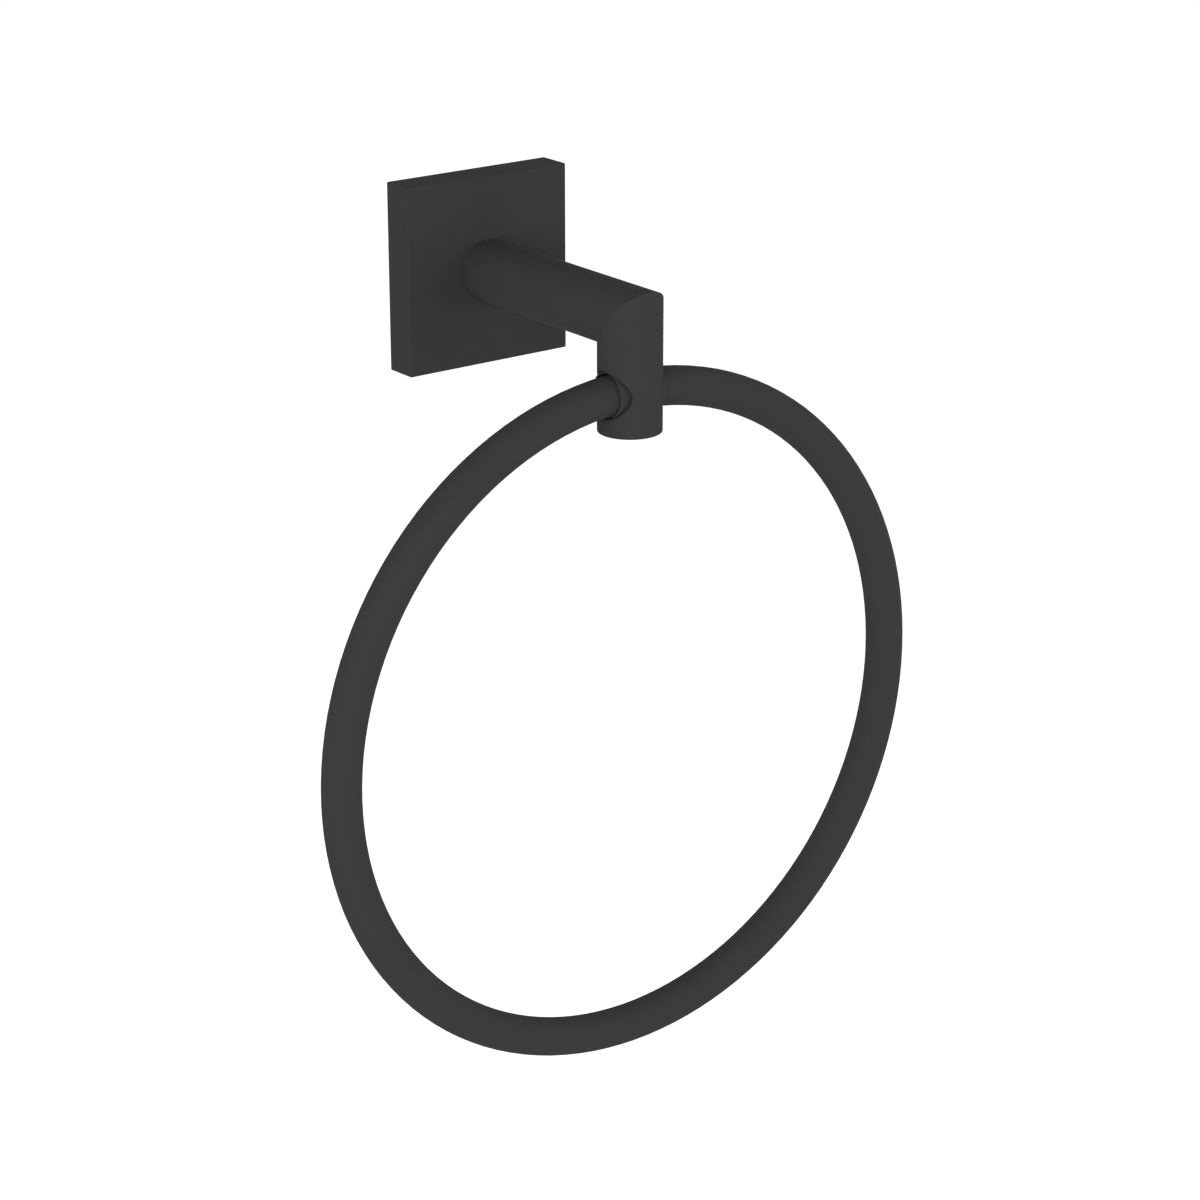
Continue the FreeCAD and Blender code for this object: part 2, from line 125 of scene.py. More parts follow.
class Graph:
    """Short way to fill a node tree."""

    def __init__(self, tree: bpy.types.NodeTree) -> None:
        """Takes the tree that is to be filled."""
        self.tree = tree

    def add(self, kind: str, settings: dict[str, object] | None = None, **inputs: object) -> bpy.types.Node:
        """Adds a node.

        Args:
            kind: Blender's name of the node's type.
            settings: Attributes of the node itself, set before its inputs.
            inputs: Input sockets by name, spaces written as underscores, each
                with a plain value or with an output socket to link from.

        Returns:
            The new node.
        """
        node = self.tree.nodes.new(kind)
        for name, value in (settings or {}).items():
            setattr(node, name, value)
        for name, value in inputs.items():
            self.feed(node.inputs[name.replace("_", " ")], value)
        return node

    def feed(self, socket: bpy.types.NodeSocket, value: object) -> None:
        """Sets an input socket, or links it.

        Args:
            socket: The input socket.
            value: A plain value to set, or an output socket to link from.
        """
        if isinstance(value, bpy.types.NodeSocket):
            self.tree.links.new(value, socket)
        else:
            socket.default_value = value

    def math(self, operation: str, *values: object) -> bpy.types.NodeSocket:
        """Adds a Math node.

        Args:
            operation: Blender's name of the operation.
            values: Its inputs in order, numbers or output sockets.

        Returns:
            The node's output.
        """
        node = self.add("ShaderNodeMath", {"operation": operation})
        for socket, value in zip(node.inputs, values):
            self.feed(socket, value)
        return node.outputs[0]

    def vector_math(self, operation: str, *values: object) -> bpy.types.Node:
        """Adds a Vector Math node.

        Args:
            operation: Blender's name of the operation.
            values: Its inputs in order, vectors or output sockets.

        Returns:
            The node.
        """
        node = self.add("ShaderNodeVectorMath", {"operation": operation})
        for socket, value in zip(node.inputs, values):
            self.feed(socket, value)
        return node

    def noise(
        self, vector: object, scale: object, detail: float, roughness: float = 0.5
    ) -> bpy.types.NodeSocket:
        """Adds a noise texture.

        Args:
            vector: Place at which the noise is read.
            scale: Cells per metre, a number or an output socket.
            detail: Number of finer layers.
            roughness: Weight of the finer layers.

        Returns:
            The noise as a value around 0.5.
        """
        node = self.add(
            "ShaderNodeTexNoise", Vector=vector, Scale=scale, Detail=detail, Roughness=roughness
        )
        return node.outputs["Fac"]

    def blend(self, factor: object, first: Colour, second: Colour) -> bpy.types.NodeSocket:
        """Adds a colour mix.

        Args:
            factor: Share of the second colour.
            first: Colour at factor 0.
            second: Colour at factor 1.

        Returns:
            The mixed colour.
        """
        node = self.add("ShaderNodeMix", {"data_type": "RGBA"})
        self.feed(node.inputs[MIX_FACTOR], factor)
        node.inputs[MIX_FIRST].default_value = (*first, 1.0)
        node.inputs[MIX_SECOND].default_value = (*second, 1.0)
        return node.outputs[MIX_RESULT]

    def spread(
        self, value: object, low: float, high: float, start: float = 0.3, end: float = 0.7
    ) -> bpy.types.NodeSocket:
        """Adds a Map Range node.

        Args:
            value: Number to map.
            low: Result at start and below it.
            high: Result at end and above it.
            start: Value that gives low.
            end: Value that gives high.

        Returns:
            The mapped value.
        """
        node = self.add(
            "ShaderNodeMapRange", Value=value, From_Min=start, From_Max=end, To_Min=low, To_Max=high
        )
        return node.outputs[0]


def open_group(
    name: str, inputs: dict[str, str], outputs: Sequence[str]
) -> tuple[Graph, bpy.types.Node, bpy.types.Node]:
    """Starts a shader node group.

    Args:
        name: Name of the group.
        inputs: Socket type of each named input.
        outputs: Names of the outputs, which are plain numbers.

    Returns:
        The group's graph, its input node and its output node.
    """
    tree = bpy.data.node_groups.new(name, "ShaderNodeTree")
    for label, kind in inputs.items():
        tree.interface.new_socket(name=label, in_out="INPUT", socket_type=kind)
    for label in outputs:
        tree.interface.new_socket(name=label, in_out="OUTPUT", socket_type="NodeSocketFloat")
    graph = Graph(tree)
    return graph, graph.add("NodeGroupInput"), graph.add("NodeGroupOutput")


@dataclass
class Effects:
    """Shader node groups that several finishes share, each built once.

    Attributes:
        swell_weight: Share of the slow swell in the surface's height.
        mottle_rate: Cells of the mottle to one cell of the swell.
        line_slimness: Width of a handling mark as a share of its length.
        line_slant: Turn of the marks about the z axis, in radians.
        line_start: Noise at which a mark begins to show.
        line_full: Noise at which it shows in full.
        grain: Group for the grain, the swell and the mottle.
        hairlines: Group for handling marks.
        lathe_marks: Group for the rings that turning leaves.
    """

    swell_weight: float = 0.65
    mottle_rate: float = 0.08
    line_slimness: float = 0.02
    line_slant: float = 0.6
    line_start: float = 0.66
    line_full: float = 0.74
    grain: bpy.types.NodeTree = field(init=False)
    hairlines: bpy.types.NodeTree = field(init=False)
    lathe_marks: bpy.types.NodeTree = field(init=False)

    def __post_init__(self) -> None:
        """Builds the groups."""
        self.grain = self._make_grain()
        self.hairlines = self._make_hairlines()
        self.lathe_marks = self._make_lathe_marks()

    def _make_grain(self) -> bpy.types.NodeTree:
        """Fine grain over a slow swell, with a much slower mottle for the colour.

        Returns:
            The group, whose Swell and Grain inputs are widths in metres.
        """
        sizes = {"Vector": "NodeSocketVector", "Swell": "NodeSocketFloat", "Grain": "NodeSocketFloat"}
        graph, source, result = open_group("surface_grain", sizes, ("Height", "Fine", "Mottle"))
        place, swell_width = source.outputs["Vector"], source.outputs["Swell"]
        swell_scale = graph.math("DIVIDE", 1.0, swell_width)
        grain_scale = graph.math("DIVIDE", 1.0, source.outputs["Grain"])
        mottle_scale = graph.math("DIVIDE", self.mottle_rate, swell_width)
        swell = graph.noise(place, swell_scale, detail=1.0)
        grain = graph.noise(place, grain_scale, detail=2.0, roughness=0.6)
        mottle = graph.noise(place, mottle_scale, detail=3.0, roughness=0.55)
        slow = graph.math("MULTIPLY", swell, self.swell_weight)
        fine = graph.math("MULTIPLY", grain, 1.0 - self.swell_weight)
        graph.feed(result.inputs["Height"], graph.math("ADD", slow, fine))
        graph.feed(result.inputs["Fine"], grain)
        graph.feed(result.inputs["Mottle"], mottle)
        return graph.tree

    def _make_hairlines(self) -> bpy.types.NodeTree:
        """Sparse thin handling marks that run roughly one way.

        Returns:
            The group, whose Width input is a mark's width in metres.
        """
        sizes = {"Vector": "NodeSocketVector", "Width": "NodeSocketFloat"}
        graph, source, result = open_group("hairline_marks", sizes, ("Mask",))
        across = graph.math("DIVIDE", 1.0, source.outputs["Width"])
        along = graph.math("MULTIPLY", across, self.line_slimness)
        scale = graph.add("ShaderNodeCombineXYZ", X=across, Y=along, Z=along)
        turned = graph.add("ShaderNodeVectorRotate", Vector=source.outputs["Vector"], Angle=self.line_slant)
        scaled = graph.vector_math("MULTIPLY", turned.outputs[0], scale.outputs[0])
        lines = graph.noise(scaled.outputs[0], scale=1.0, detail=1.0)
        graph.feed(result.inputs["Mask"], graph.spread(lines, 0.0, 1.0, self.line_start, self.line_full))
        return graph.tree

    def _make_lathe_marks(self) -> bpy.types.NodeTree:
        """Rings left by turning, about the z axis of the given vector.

        Returns:
            The group, whose Pitch input is the marks' spacing in metres.
        """
        sizes = {"Vector": "NodeSocketVector", "Pitch": "NodeSocketFloat"}
        graph, source, result = open_group("lathe_marks", sizes, ("Height",))
        flat = graph.vector_math("MULTIPLY", source.outputs["Vector"], (1.0, 1.0, 0.0))
        radius = graph.vector_math("LENGTH", flat.outputs[0])
        parts = graph.add("ShaderNodeSeparateXYZ", Vector=source.outputs["Vector"])
        path = graph.math("ADD", radius.outputs["Value"], parts.outputs["Z"])
        marks = graph.add("ShaderNodeTexNoise", {"noise_dimensions": "1D"}, W=path, Detail=2.0)
        graph.feed(marks.inputs["Scale"], graph.math("DIVIDE", 1.0, source.outputs["Pitch"]))
        graph.feed(result.inputs["Height"], marks.outputs["Fac"])
        return graph.tree


@dataclass(frozen=True)
class Draft:
    """Material in the making, as Finish.start gives it.

    Attributes:
        material: The material.
        graph: Its node tree.
        shader: Its Principled shader.
        place: Output that gives the place on the object.
        grain: Node of the shared grain.
    """

    material: bpy.types.Material
    graph: Graph
    shader: bpy.types.Node
    place: bpy.types.NodeSocket
    grain: bpy.types.Node


@dataclass(frozen=True)
class Finish:
    """What every finish has: a colour, a roughness and an uneven surface.

    Attributes:
        name: Name of the material.
        colour: Its colour.
        roughness: Its roughness, about which it varies.
        swell: Width of the slow unevenness, in metres.
        grain: Width of the fine unevenness, in metres.
        relief: Height of the unevenness, in metres.
        cloud_below: How far the roughness goes below its own value.
        cloud_above: How far the roughness goes above it.
    """

    name: str
    colour: Colour
    roughness: float
    swell: float
    grain: float
    relief: float
    cloud_below: float = 0.05
    cloud_above: float = 0.05

    def start(self, effects: Effects) -> Draft:
        """Makes the material with its shader and its grain.

        Args:
            effects: The shared node groups.

        Returns:
            The material and the nodes that the finish goes on from.
        """
        material = bpy.data.materials.new(self.name)
        material.use_nodes = True
        graph = Graph(material.node_tree)
        shader = material.node_tree.nodes["Principled BSDF"]
        place = graph.add("ShaderNodeTexCoord").outputs["Object"]
        group = {"node_tree": effects.grain}
        grain = graph.add("ShaderNodeGroup", group, Vector=place, Swell=self.swell, Grain=self.grain)
        return Draft(material, graph, shader, place, grain)

    def shade(self, share: float) -> Colour:
        """The finish's colour times a share."""
        return tuple(channel * share for channel in self.colour)

    def cloud(self, draft: Draft, mask: str) -> bpy.types.NodeSocket:
        """Makes a roughness that changes over the surface.

        Args:
            draft: The material in the making.
            mask: The grain's output that it follows.

        Returns:
            The roughness.
        """
        low, high = self.roughness - self.cloud_below, self.roughness + self.cloud_above
        return draft.graph.spread(draft.grain.outputs[mask], low, high)

    def emboss(self, draft: Draft, height: bpy.types.NodeSocket) -> None:
        """Leads a height into the shader's normal.

        Args:
            draft: The material in the making.
            height: The height, as a share of the relief.
        """
        bump = draft.graph.add("ShaderNodeBump", Height=height, Strength=1.0, Distance=self.relief)
        draft.graph.feed(draft.shader.inputs["Normal"], bump.outputs["Normal"])

    def make(self, effects: Effects) -> bpy.types.Material:
        """Makes the material; each finish has its own way."""
        raise NotImplementedError


@dataclass(frozen=True)
class PowderCoat(Finish):
    """Matte black powder coat with a slight orange peel and a fine tooth."""

    specular: float = 0.035
    lift: float = 0.05
    mottle_weight: float = 0.3
    tone_start: float = 0.35
    tone_end: float = 0.65

    def make(self, effects: Effects) -> bpy.types.Material:
        """Makes the material.

        Args:
            effects: The shared node groups.

        Returns:
            The finished material.
        """
        draft = self.start(effects)
        graph, inputs, grain = draft.graph, draft.shader.inputs, draft.grain.outputs
        slow = graph.math("MULTIPLY", grain["Mottle"], self.mottle_weight)
        fine = graph.math("MULTIPLY", grain["Fine"], 1.0 - self.mottle_weight)
        tone = graph.spread(graph.math("ADD", slow, fine), 0.0, 1.0, self.tone_start, self.tone_end)
        deep, pale = self.shade(1.0 - self.lift), self.shade(1.0 + self.lift)
        graph.feed(inputs["Base Color"], graph.blend(tone, deep, pale))
        graph.feed(inputs["Roughness"], self.cloud(draft, "Fine"))
        inputs["Specular IOR Level"].default_value = self.specular
        self.emboss(draft, grain["Height"])
        return draft.material


@dataclass(frozen=True)
class ZincPlate(Finish):
    """Bright zinc plating over stamped steel, with handling marks."""

    mark_width: float = 0.12 * MM
    mark_shine: float = 0.12
    dulling: float = 0.82
    cloud_below: float = 0.07
    cloud_above: float = 0.09

    def make(self, effects: Effects) -> bpy.types.Material:
        """Makes the material.

        Args:
            effects: The shared node groups.

        Returns:
            The finished material.
        """
        draft = self.start(effects)
        graph, inputs, grain = draft.graph, draft.shader.inputs, draft.grain.outputs
        group = {"node_tree": effects.hairlines}
        marks = graph.add("ShaderNodeGroup", group, Vector=draft.place, Width=self.mark_width).outputs["Mask"]
        tone = graph.spread(grain["Mottle"], 0.0, 1.0)
        graph.feed(inputs["Base Color"], graph.blend(tone, self.shade(self.dulling), self.colour))
        cloud = self.cloud(draft, "Mottle")
        shine = graph.math("MULTIPLY", marks, self.mark_shine)
        graph.feed(inputs["Roughness"], graph.math("SUBTRACT", cloud, shine))
        inputs["Metallic"].default_value = 1.0
        self.emboss(draft, graph.math("SUBTRACT", grain["Height"], marks))
        return draft.material


@dataclass(frozen=True)
class TurnedSteel(Finish):
    """Stainless steel with the rings that turning leaves."""

    turn: Turn = Turn.ALONG_Z
    centre: tuple[float, float, float] = (0.0, 0.0, 0.0)
    pitch: float = 0.09 * MM
    dulling: float = 0.78
    cloud_below: float = 0.06
    cloud_above: float = 0.08
    grain_weight: float = 0.3

    def make(self, effects: Effects) -> bpy.types.Material:
        """Makes the material.

        Args:
            effects: The shared node groups.

        Returns:
            The finished material.
        """
        draft = self.start(effects)
        graph, inputs, grain = draft.graph, draft.shader.inputs, draft.grain.outputs
        shifted = graph.vector_math("SUBTRACT", draft.place, self.centre).outputs[0]
        euler = {"rotation_type": "EULER_XYZ"}
        turned = graph.add("ShaderNodeVectorRotate", euler, Vector=shifted, Rotation=self.turn.value)
        group = {"node_tree": effects.lathe_marks}
        lathe = graph.add("ShaderNodeGroup", group, Vector=turned.outputs[0], Pitch=self.pitch)
        marks = lathe.outputs["Height"]
        tone = graph.spread(marks, 0.0, 1.0)
        graph.feed(inputs["Base Color"], graph.blend(tone, self.shade(self.dulling), self.colour))
        graph.feed(inputs["Roughness"], self.cloud(draft, "Mottle"))
        inputs["Metallic"].default_value = 1.0
        fine = graph.math("MULTIPLY", grain["Fine"], self.grain_weight)
        self.emboss(draft, graph.math("ADD", marks, fine))
        return draft.material


@dataclass(frozen=True)
class MouldedPolymer(Finish):
    """Black bearing polymer, smoother than the powder coat."""

    specular: float = 0.05
    lift: float = 0.25
    cloud_below: float = 0.04
    cloud_above: float = 0.06

    def make(self, effects: Effects) -> bpy.types.Material:
        """Makes the material.

        Args:
            effects: The shared node groups.

        Returns:
            The finished material.
        """
        draft = self.start(effects)
        graph, inputs, grain = draft.graph, draft.shader.inputs, draft.grain.outputs
        tone = graph.spread(grain["Mottle"], 0.0, 1.0)
        graph.feed(inputs["Base Color"], graph.blend(tone, self.colour, self.shade(1.0 + self.lift)))
        graph.feed(inputs["Roughness"], self.cloud(draft, "Fine"))
        inputs["Specular IOR Level"].default_value = self.specular
        self.emboss(draft, grain["Height"])
        return draft.material


def dress(node: str, material: bpy.types.Material) -> None:
    """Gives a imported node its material.

    Args:
        node: Name of the node.
        material: The finish that its one slot gets.
    """
    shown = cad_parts[node]
    shown.data.materials.clear()
    shown.data.materials.append(material)
    log.info("%s: %s", node, material.name)


@dataclass(frozen=True)
class Section:
    """Level cut through a turned part: its height and its radius at each angle."""

    height: float
    radius: Callable[[float], float]


def round_section(height: float, radius: float) -> Section:
    """Round section."""
    return Section(height, lambda angle: radius)


def hexagon_section(height: float, flats: float) -> Section:
    """Section with six flats.

    Args:
        height: Height of the section on the axis.
        flats: Distance between two opposite flats.

    Returns:
        The section.
    """
    sixth = math.pi / 3

    def radius(angle: float) -> float:
        """Distance from the axis to the flat at an angle."""
        return flats / 2 / math.cos((angle + sixth / 2) % sixth - sixth / 2)

    return Section(height, radius)


def skin(
    name: str, sections: Sequence[Section], place: Matrix, columns: int = 72, sharp_degrees: float = 32.0
) -> bpy.types.Object:
    """Closed mesh through a stack of sections.

    Args:
        name: Name of the piece.
        sections: They run in order, from one end's middle to the other's.
        place: Matrix from the part's own axes, z along its axis, to the frame.
        columns: Points in each section, a multiple of twelve.
        sharp_degrees: Turn between two faces from which their edge is sharp.

    Returns:
        The new object, with its place in its mesh.
    """
    shape = bmesh.new()
    loops = []
    for section in sections:
        loop = []
        for k in range(columns):
            angle = 2 * math.pi * (k + 0.5) / columns
            reach = section.radius(angle)
            loop.append(shape.verts.new((reach * math.cos(angle), reach * math.sin(angle), section.height)))
        loops.append(loop)
    for lower, upper in zip(loops, loops[1:]):
        for k in range(columns):
            after = (k + 1) % columns
            shape.faces.new((lower[k], lower[after], upper[after], upper[k]))
    shape.faces.new(loops[0][::-1])
    shape.faces.new(loops[-1])
    bmesh.ops.recalc_face_normals(shape, faces=shape.faces)
    shape.transform(place)
    mesh = bpy.data.meshes.new(name)
    shape.to_mesh(mesh)
    shape.free()
    mesh.shade_smooth()
    mesh.set_sharp_from_angle(angle=math.radians(sharp_degrees))
    piece = bpy.data.objects.new(name, mesh)
    bpy.context.scene.collection.objects.link(piece)
    return piece


@dataclass(frozen=True)
class HexScrew:
    """Screw driven by a hexagon key, with a cut thread.

    Its own axis is z: the thread starts at 0 and runs down, and a head, where
    there is one, stands above 0. The driven end of a headless screw is at 0.
    """

    name: str
    radius: float
    length: float
    pitch: float
    key: float
    key_depth: float
    point: Point
    head_radius: float = 0.0
    head_height: float = 0.0
    pin_radius: float = 0.0
    pin_length: float = 0.0

    def _thread_section(self, height: float) -> Section:
        """Section across the thread, which fades out at both of its ends.

        Args:
            height: Height of the section on the screw's axis.

        Returns:
            The section.
        """
        end = self.length - self._point_length()
        fade = min(1.0, max(0.0, -height / self.pitch), max(0.0, (end + height) / self.pitch))

        def radius(angle: float) -> float:
            """Thread's radius, full on the crests and cut down between them.

            Args:
                angle: Angle round the axis.

            Returns:
                The radius at that angle.
            """
            phase = (height / self.pitch - angle / (2 * math.pi)) % 1.0
            rise = 1.0 - abs(2.0 * phase - 1.0)
            crest = min(1.0, max(0.0, rise * FLANK_SLOPE - ROOT_DROP))
            return self.radius - THREAD_DEPTH * self.pitch * (1.0 - crest) * fade

        return Section(height, radius)

    def _point_length(self) -> float:
        """Measures the screw's end below its thread.

        Returns:
            Its length.
        """
        lengths = {
            Point.CHAMFERED: END_CHAMFER * self.pitch,
            Point.CONE: self.radius,
            Point.PLAIN_PIN: self.pin_length,
        }
        return lengths[self.point]

    def _socket(self, top: float, face: float) -> list[Section]:
        """Sections of the key's socket, from its bottom up to the face round it.

        Args:
            top: Height of the face that the socket opens in.
            face: Radius of that face.

        Returns:
            The sections.
        """
        bottom = top - self.key_depth
        return [
            round_section(bottom - DRILL_CONE_DEPTH * self.key, DRILL_TIP_RADIUS * self.key),
            hexagon_section(bottom, DRILL_FLATS * self.key),
            hexagon_section(bottom, self.key),
            hexagon_section(top - LEAD_IN_DEPTH * self.key, self.key),
            round_section(top, LEAD_IN_RADIUS * self.key),
            round_section(top, face),
        ]

    def _head(self) -> list[Section]:
        """Sections of the domed head, from its crown's edge to its seat.

        Returns:
            The sections.
        """
        crown, skirt = HEAD_CROWN * self.head_radius, HEAD_SKIRT * self.head_height
        ease = HEAD_EASE * skirt
        sections = []
        for k in range(1, DOME_STEPS + 1):
            angle = k / DOME_STEPS * math.pi / 2
            reach = crown + (self.head_radius - crown) * math.sin(angle)
            sections.append(round_section(skirt + (self.head_height - skirt) * math.cos(angle), reach))
        sections.append(round_section(ease, self.head_radius))
        sections.append(round_section(0.0, self.head_radius - ease))
        sections.append(round_section(0.0, self.radius))
        return sections

    def _end(self) -> list[Section]:
        """Sections of the screw's far end.

        Returns:
            The sections, from the thread's end to the tip.
        """
        tip, start = -self.length, self._point_length() - self.length
        root = self.radius - THREAD_DEPTH * self.pitch
        if self.point is Point.PLAIN_PIN:
            ease = PIN_EASE * self.pin_radius
            return [
                round_section(start, root),
                round_section(start, self.pin_radius),
                round_section(tip + ease, self.pin_radius),
                round_section(tip, self.pin_radius - ease),
                round_section(tip, TIP_MIDDLE * self.pin_radius),
            ]
        if self.point is Point.CONE:
            return [round_section(start, self.radius), round_section(tip, CONE_POINT * self.radius)]
        middle = round_section(tip, TIP_MIDDLE * self.radius)
        return [round_section(start, self.radius), round_section(tip, root), middle]

    def build(self, place: Matrix) -> bpy.types.Object:
        """Builds the screw.

        Args:
            place: Matrix from the screw's own axes to the frame.

        Returns:
            The new object.
        """
        if self.head_height:
            top = 0.0
            sections = self._socket(self.head_height, HEAD_CROWN * self.head_radius) + self._head()
        else:
            top = START_BEVEL * self.pitch
            sections = self._socket(0.0, self.radius - top) + [round_section(-top, self.radius)]
        run = self.length - self._point_length() - top
        steps = round(run / self.pitch * SECTIONS_PER_TURN)
        sections += [self._thread_section(-top - run * k / steps) for k in range(1, steps)]
        return skin(self.name, sections + self._end(), place)


def upside_down(low: Vector, high: Vector) -> Matrix:
    """Place of a screw that is driven from below.

    Args:
        low: Lowest corner of the screw's box.
        high: Highest corner of it.

    Returns:
        Matrix from the screw's own axes to the frame.
    """
    middle = (low + high) / 2
    return Matrix.Translation((middle.x, middle.y, low.z)) @ Matrix.Rotation(math.pi, 4, "X")


def stand_for(piece: bpy.types.Object, node: str, steel: bpy.types.Material) -> None:
    """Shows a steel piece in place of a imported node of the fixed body.

    Args:
        piece: The new piece.
        node: The node it stands for.
        steel: Its finish.
    """
    piece.data.materials.append(steel)
    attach(piece, FIXED_BODY)
    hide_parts(node)
    log.info("%s: replaces %s, %s", piece.name, node, steel.name)


@dataclass
class Flange:
    """Square flange with its bracket and the set screw that joins them."""

    coat: bpy.types.Material
    plate: bpy.types.Material
    steel: bpy.types.Material
    screw_pitch: float = 0.7 * MM
    key: float = 2.0 * MM
    key_depth: float = 2.2 * MM

    def build(self) -> None:
        """Dresses the flange and the bracket and cuts the set screw's thread."""
        dress("flange_cover", self.coat)
        dress("wall_bracket", self.plate)
        low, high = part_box("flange_set_screw")
        screw = HexScrew(
            "set_screw_m4",
            radius=(high.x - low.x) / 2,
            length=high.z - low.z,
            pitch=self.screw_pitch,
            key=self.key,
            key_depth=self.key_depth,
            point=Point.CONE,
        )
        stand_for(screw.build(upside_down(low, high)), "flange_set_screw", self.steel)


@dataclass
class Arm:
    """Arm and post with the screw and washers that hold them from behind."""

    coat: bpy.types.Material
    steel: bpy.types.Material
    screw_radius: float = 2.95 * MM
    screw_pitch: float = 1.0 * MM
    head_height: float = 3.0 * MM
    key: float = 4.0 * MM
    key_depth: float = 1.7 * MM

    def build(self) -> None:
        """Dresses the arm and its washers and builds the screw."""
        dress("mitred_arm", self.coat)
        for washer in ("arm_washer", "arm_lock_washer"):
            dress(washer, self.steel)
        low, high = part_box("arm_screw")
        screw = HexScrew(
            "arm_screw_m6",
            radius=self.screw_radius,
            length=high.y - low.y - self.head_height,
            pitch=self.screw_pitch,
            key=self.key,
            key_depth=self.key_depth,
            point=Point.CHAMFERED,
            head_radius=(high.x - low.x) / 2,
            head_height=self.head_height,
        )
        seat = Vector(((low.x + high.x) / 2, high.y - self.head_height, (low.z + high.z) / 2))
        facing_wall = Matrix.Translation(seat) @ Matrix.Rotation(-math.pi / 2, 4, "X")
        stand_for(screw.build(facing_wall), "arm_screw", self.steel)


@dataclass
class Pivot:
    """Bushes in the post's bore and the keeper screw under it."""

    polymer: bpy.types.Material
    steel: bpy.types.Material
    screw_pitch: float = 0.7 * MM
    key: float = 2.0 * MM
    key_depth: float = 1.6 * MM
    pin_radius: float = 1.2 * MM
    thread_length: float = 3.8 * MM

    def build(self) -> None:
        """Dresses the bushes and cuts the keeper screw's thread."""
        for bush in ("ring_bush_left", "ring_bush_right"):
            dress(bush, self.polymer)
        low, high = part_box("ring_keeper_screw")
        length = high.z - low.z
        screw = HexScrew(
            "keeper_screw_m4",
            radius=(high.x - low.x) / 2,
            length=length,
            pitch=self.screw_pitch,
            key=self.key,
            key_depth=self.key_depth,
            point=Point.PLAIN_PIN,
            pin_radius=self.pin_radius,
            pin_length=length - self.thread_length,
        )
        stand_for(screw.build(upside_down(low, high)), "ring_keeper_screw", self.steel)


@dataclass
class SwingingRing:
    """Bent tube and the pin that joins its ends."""

    coat: bpy.types.Material
    steel: bpy.types.Material

    def build(self) -> None:
        """Dresses both pieces."""
        dress("towel_ring", self.coat)
        dress("ring_joiner", self.steel)


def aim(
    holder: bpy.types.Object, target: Vector, azimuth: float, elevation: float, distance: float
) -> None:
    """Puts a lamp or a camera up, facing a point.

    Args:
        holder: The lamp's or camera's object.
        target: The point that it faces.
        azimuth: Degrees round the point, 0 in front and 90 on the right.
        elevation: Degrees above the point.
        distance: How far from the point it is.
    """
    turn, rise = math.radians(azimuth), math.radians(elevation)
    away = Vector((math.sin(turn) * math.cos(rise), -math.cos(turn) * math.cos(rise), math.sin(rise)))
    holder.location = target + away * distance
    holder.rotation_mode = "QUATERNION"
    holder.rotation_quaternion = away.to_track_quat("Z", "Y")
    bpy.context.scene.collection.objects.link(holder)


@dataclass(frozen=True)
class Softbox:
    """Large square lamp that faces the object.

    The level is the light that it gives a surface facing it, where 1 shows a
    colour as it is written.
    """

    name: str
    azimuth: float
    elevation: float
    level: float
    size: float = 1.1
    distance: float = 1.5

    def hang(self, target: Vector) -> None:
        """Puts the lamp up.

        Args:
            target: The point that it faces.
        """
        lamp = bpy.data.lights.new(self.name, "AREA")
        lamp.size = self.size
        lamp.energy = self.level * math.pi**2 * self.distance**2
        holder = bpy.data.objects.new(self.name, lamp)
        holder.visible_camera = False
        aim(holder, target, self.azimuth, self.elevation, self.distance)


